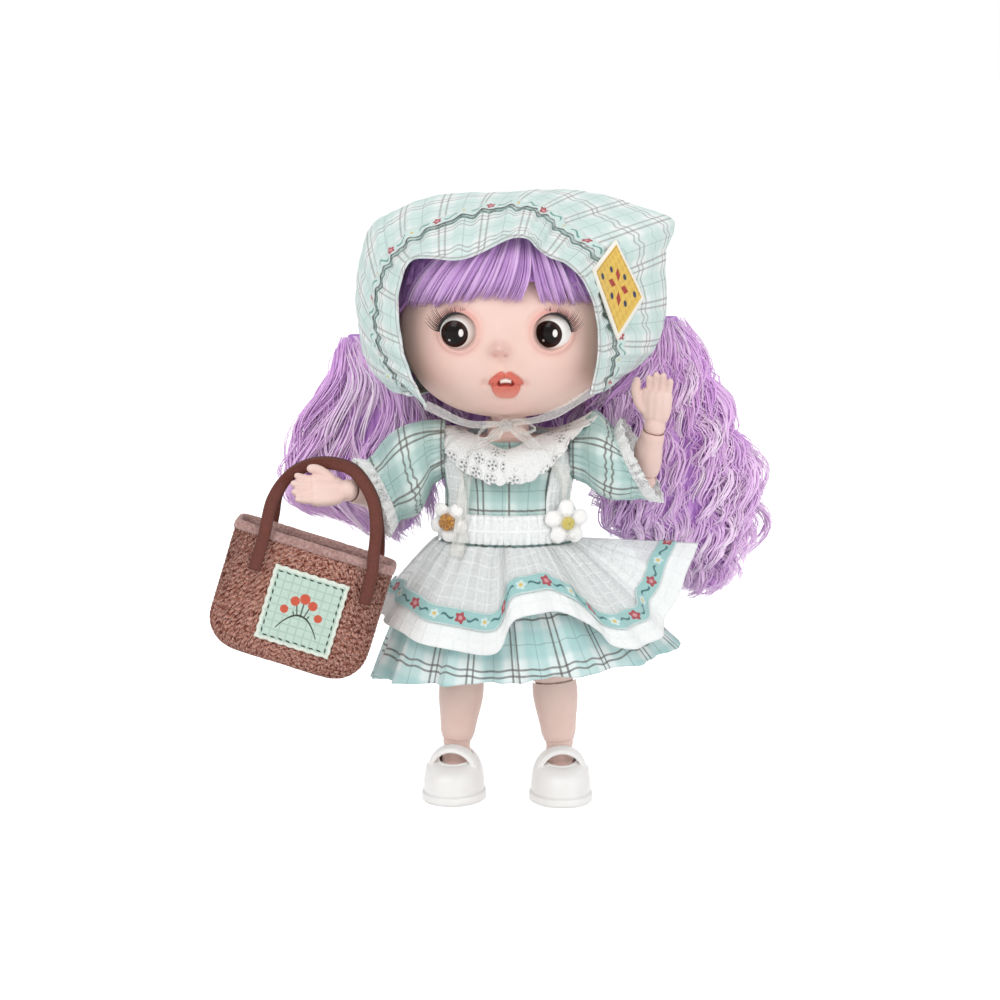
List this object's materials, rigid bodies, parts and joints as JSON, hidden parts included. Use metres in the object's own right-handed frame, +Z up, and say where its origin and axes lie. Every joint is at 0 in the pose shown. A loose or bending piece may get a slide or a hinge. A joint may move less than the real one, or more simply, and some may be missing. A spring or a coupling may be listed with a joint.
{
  "type": "jointed doll",
  "caption": "Small ball-jointed girl doll in a plaid dress, apron and eared headscarf, with long wavy hair, holding a tote bag.",
  "frame": {"origin": "on the ground under the middle of the whole doll with its bag and hair", "axes": "+Z up, the doll faces -Y and its own left side is toward +X"},
  "size_m": [0.1441, 0.0626, 0.1636],
  "materials": {
    "skin_vinyl": "matt, pale pink",
    "eye_gloss": "gloss, white with a dark brown iris",
    "pin_steel": "plain",
    "hair_fibre": "lilac wavy synthetic fibre",
    "plaid_cotton": "woven mint plaid cotton",
    "white_lace": "white lace and sheer gauze",
    "daisy_felt": "white petals with a yellow centre",
    "patch_cloth": "printed yellow cloth",
    "shoe_vinyl": "smooth white",
    "bag_tweed": "coarse brown and pink tweed",
    "binding_cloth": "taupe binding",
    "label_cloth": "printed mint cloth",
    "strap_leather": "smooth brown"
  },
  "bodies": {
    "torso": {"torso_front": "skin_vinyl", "torso_back": "skin_vinyl", "dress_bodice": "plaid_cotton", "dress_skirt": "plaid_cotton", "sleeve_left": "plaid_cotton", "sleeve_right": "plaid_cotton", "collar": "white_lace", "apron_yoke": "white_lace", "apron_skirt": "white_lace", "daisy_left": "daisy_felt", "daisy_right": "daisy_felt"},
    "neck": {"neck_post": "skin_vinyl"},
    "neck_ball": {"neck_ball": "skin_vinyl"},
    "head": {"head_face": "skin_vinyl", "head_back": "skin_vinyl", "eye_left": "eye_gloss", "eye_right": "eye_gloss", "wig_cap": "hair_fibre", "hair_fringe": "hair_fibre", "hair_left": "hair_fibre", "hair_right": "hair_fibre", "hair_back": "hair_fibre", "headscarf_crown": "plaid_cotton", "headscarf_brim": "plaid_cotton", "headscarf_patch": "patch_cloth", "headscarf_tie": "white_lace"},
    "shoulder_left": {"shoulder_ball_left": "skin_vinyl"},
    "upper_arm_left": {"upper_arm_left": "skin_vinyl"},
    "elbow_left": {"elbow_ball_left": "skin_vinyl", "elbow_pin_left": "pin_steel"},
    "forearm_left": {"forearm_left": "skin_vinyl"},
    "hand_left": {"hand_left": "skin_vinyl"},
    "hip_left": {"hip_ball_left": "skin_vinyl"},
    "thigh_left": {"thigh_left": "skin_vinyl", "knee_ball_left": "skin_vinyl", "knee_pin_left": "pin_steel"},
    "shin_left": {"shin_left": "skin_vinyl"},
    "foot_left": {"foot_left": "skin_vinyl", "shoe_left": "shoe_vinyl"},
    "shoulder_right": {"shoulder_ball_right": "skin_vinyl"},
    "upper_arm_right": {"upper_arm_right": "skin_vinyl"},
    "elbow_right": {"elbow_ball_right": "skin_vinyl", "elbow_pin_right": "pin_steel"},
    "forearm_right": {"forearm_right": "skin_vinyl"},
    "hand_right": {"hand_right": "skin_vinyl"},
    "hip_right": {"hip_ball_right": "skin_vinyl"},
    "thigh_right": {"thigh_right": "skin_vinyl", "knee_ball_right": "skin_vinyl", "knee_pin_right": "pin_steel"},
    "shin_right": {"shin_right": "skin_vinyl"},
    "foot_right": {"foot_right": "skin_vinyl", "shoe_right": "shoe_vinyl"},
    "bag": {"bag_body": "bag_tweed", "bag_rim": "binding_cloth", "bag_handle_front": "strap_leather", "bag_handle_back": "strap_leather", "bag_label": "label_cloth"}
  },
  "joints": [
    {"name": "neck_turn", "type": "hinge", "parent": "torso", "child": "neck", "pos_m": [0.0049, -0.0002, 0.1046], "axis": [0, 0, 1], "range_deg": [-30, 40], "deforming": ["hair_left", "hair_right", "hair_back", "headscarf_tie", "collar"]},
    {"name": "neck_nod", "type": "hinge", "parent": "neck", "child": "neck_ball", "pos_m": [0.0049, -0.0002, 0.1046], "axis": [1, 0, 0], "range_deg": [-12, 12]},
    {"name": "neck_tilt", "type": "hinge", "parent": "neck_ball", "child": "head", "pos_m": [0.0049, -0.0002, 0.1046], "axis": [0, 1, 0], "range_deg": [-12, 4]},
    {"name": "shoulder_swing_left", "type": "hinge", "parent": "torso", "child": "shoulder_left", "pos_m": [0.0244, -0.0002, 0.0945], "axis": [-1, 0, 0], "range_deg": [-30, 45], "deforming": ["sleeve_left"]},
    {"name": "shoulder_raise_left", "type": "hinge", "parent": "shoulder_left", "child": "upper_arm_left", "pos_m": [0.0244, -0.0002, 0.0945], "axis": [0, -0.9976, 0.0698], "range_deg": [-42, 5]},
    {"name": "elbow_turn_left", "type": "hinge", "parent": "upper_arm_left", "child": "elbow_left", "pos_m": [0.04058, -0.00075, 0.08663], "axis": [0.8988, -0.0306, -0.4373], "range_deg": [-45, 60]},
    {"name": "elbow_bend_left", "type": "hinge", "parent": "elbow_left", "child": "forearm_left", "pos_m": [0.04058, -0.00075, 0.08663], "axis": [-0.137, -0.9672, -0.214], "range_deg": [-95, 2]},
    {"name": "wrist_turn_left", "type": "hinge", "parent": "forearm_left", "child": "hand_left", "pos_m": [0.04383, -0.00446, 0.10132], "axis": [0.2096, -0.2395, 0.948], "range_deg": [-70, 70]},
    {"name": "shoulder_swing_right", "type": "hinge", "parent": "torso", "child": "shoulder_right", "pos_m": [-0.0146, -0.0002, 0.0945], "axis": [-1, 0, 0], "range_deg": [-30, 60], "deforming": ["sleeve_right"]},
    {"name": "shoulder_raise_right", "type": "hinge", "parent": "shoulder_right", "child": "upper_arm_right", "pos_m": [-0.0146, -0.0002, 0.0945], "axis": [0, 0.9272, -0.3746], "range_deg": [-20, 60]},
    {"name": "elbow_turn_right", "type": "hinge", "parent": "upper_arm_right", "child": "elbow_right", "pos_m": [-0.02617, -0.00536, 0.08171], "axis": [-0.6428, -0.287, -0.7103], "range_deg": [-40, 40]},
    {"name": "elbow_bend_right", "type": "hinge", "parent": "elbow_right", "child": "forearm_right", "pos_m": [-0.02617, -0.00536, 0.08171], "axis": [-0.6457, 0.7019, 0.3008], "range_deg": [-28, 42]},
    {"name": "wrist_turn_right", "type": "hinge", "parent": "forearm_right", "child": "hand_right", "pos_m": [-0.03641, -0.01639, 0.08544], "axis": [-0.6609, -0.711, 0.2403], "range_deg": [-20, 20]},
    {"name": "hip_swing_left", "type": "hinge", "parent": "torso", "child": "hip_left", "pos_m": [0.0154, -0.0002, 0.053], "axis": [-1, 0, 0], "range_deg": [-25, 80], "deforming": ["dress_skirt", "apron_skirt"]},
    {"name": "hip_spread_left", "type": "hinge", "parent": "hip_left", "child": "thigh_left", "pos_m": [0.0154, -0.0002, 0.053], "axis": [0, -1, 0], "range_deg": [-6, 26]},
    {"name": "knee_bend_left", "type": "hinge", "parent": "thigh_left", "child": "shin_left", "pos_m": [0.01723, -0.0002, 0.03208], "axis": [0.9962, 0, 0.0872], "range_deg": [0, 88]},
    {"name": "ankle_flex_left", "type": "hinge", "parent": "shin_left", "child": "foot_left", "pos_m": [0.01873, -0.0002, 0.01494], "axis": [0.9903, 0.1392, 0], "range_deg": [-20, 20]},
    {"name": "hip_swing_right", "type": "hinge", "parent": "torso", "child": "hip_right", "pos_m": [-0.0056, -0.0002, 0.053], "axis": [-1, 0, 0], "range_deg": [-25, 80]},
    {"name": "hip_spread_right", "type": "hinge", "parent": "hip_right", "child": "thigh_right", "pos_m": [-0.0056, -0.0002, 0.053], "axis": [0, 1, 0], "range_deg": [-6, 26]},
    {"name": "knee_bend_right", "type": "hinge", "parent": "thigh_right", "child": "shin_right", "pos_m": [-0.00743, -0.0002, 0.03208], "axis": [0.9962, 0, -0.0872], "range_deg": [0, 88]},
    {"name": "ankle_flex_right", "type": "hinge", "parent": "shin_right", "child": "foot_right", "pos_m": [-0.00893, -0.0002, 0.01494], "axis": [0.9903, -0.1392, 0], "range_deg": [-20, 20]},
    {"name": "bag_swing", "type": "hinge", "parent": "hand_right", "child": "bag", "pos_m": [-0.041, -0.0177, 0.0925], "axis": [1, 0, 0], "range_deg": [-20, 25], "deforming": ["bag_handle_front", "bag_handle_back"]}
  ]
}
